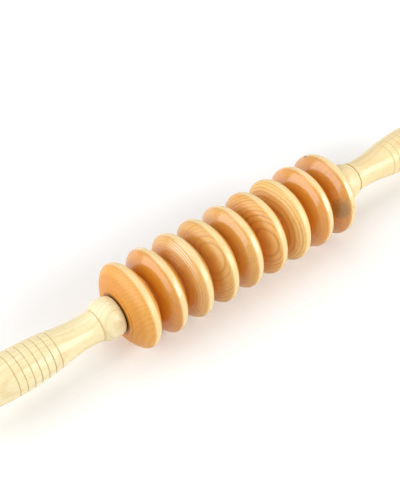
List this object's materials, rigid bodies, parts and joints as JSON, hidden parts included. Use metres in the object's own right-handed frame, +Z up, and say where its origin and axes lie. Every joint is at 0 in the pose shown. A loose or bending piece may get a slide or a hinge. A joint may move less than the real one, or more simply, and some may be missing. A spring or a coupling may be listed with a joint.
{
  "type": "massage roller",
  "caption": "Hand-held wooden roller: lens-shaped discs that each turn freely on a dowel between two turned handles, for massaging feet and legs.",
  "frame": {"origin": "on the floor under the middle disc, with the roller lying on its discs", "axes": "+X along the dowel from the left handle to the right handle, +Z up, +Y away from the viewer"},
  "size_m": [0.4198, 0.06, 0.06],
  "materials": {
    "disc_wood": "satin lacquer",
    "handle_wood": "satin lacquer",
    "dowel_wood": "bare sanded wood"
  },
  "bodies": {
    "core": {"axle_dowel": "dowel_wood", "left_handle": "handle_wood", "right_handle": "handle_wood"},
    "disc_1": {"disc_1": "disc_wood"},
    "disc_2": {"disc_2": "disc_wood"},
    "disc_3": {"disc_3": "disc_wood"},
    "disc_4": {"disc_4": "disc_wood"},
    "disc_5": {"disc_5": "disc_wood"},
    "disc_6": {"disc_6": "disc_wood"},
    "disc_7": {"disc_7": "disc_wood"},
    "disc_8": {"disc_8": "disc_wood"},
    "disc_9": {"disc_9": "disc_wood"}
  },
  "joints": [
    {"name": "disc_1_turn", "type": "hinge", "parent": "core", "child": "disc_1", "pos_m": [-0.084, 0, 0.03], "axis": [1, 0, 0], "continuous": true},
    {"name": "disc_2_turn", "type": "hinge", "parent": "core", "child": "disc_2", "pos_m": [-0.063, 0, 0.03], "axis": [1, 0, 0], "continuous": true},
    {"name": "disc_3_turn", "type": "hinge", "parent": "core", "child": "disc_3", "pos_m": [-0.042, 0, 0.03], "axis": [1, 0, 0], "continuous": true},
    {"name": "disc_4_turn", "type": "hinge", "parent": "core", "child": "disc_4", "pos_m": [-0.021, 0, 0.03], "axis": [1, 0, 0], "continuous": true},
    {"name": "disc_5_turn", "type": "hinge", "parent": "core", "child": "disc_5", "pos_m": [0, 0, 0.03], "axis": [1, 0, 0], "continuous": true},
    {"name": "disc_6_turn", "type": "hinge", "parent": "core", "child": "disc_6", "pos_m": [0.021, 0, 0.03], "axis": [1, 0, 0], "continuous": true},
    {"name": "disc_7_turn", "type": "hinge", "parent": "core", "child": "disc_7", "pos_m": [0.042, 0, 0.03], "axis": [1, 0, 0], "continuous": true},
    {"name": "disc_8_turn", "type": "hinge", "parent": "core", "child": "disc_8", "pos_m": [0.063, 0, 0.03], "axis": [1, 0, 0], "continuous": true},
    {"name": "disc_9_turn", "type": "hinge", "parent": "core", "child": "disc_9", "pos_m": [0.084, 0, 0.03], "axis": [1, 0, 0], "continuous": true}
  ]
}
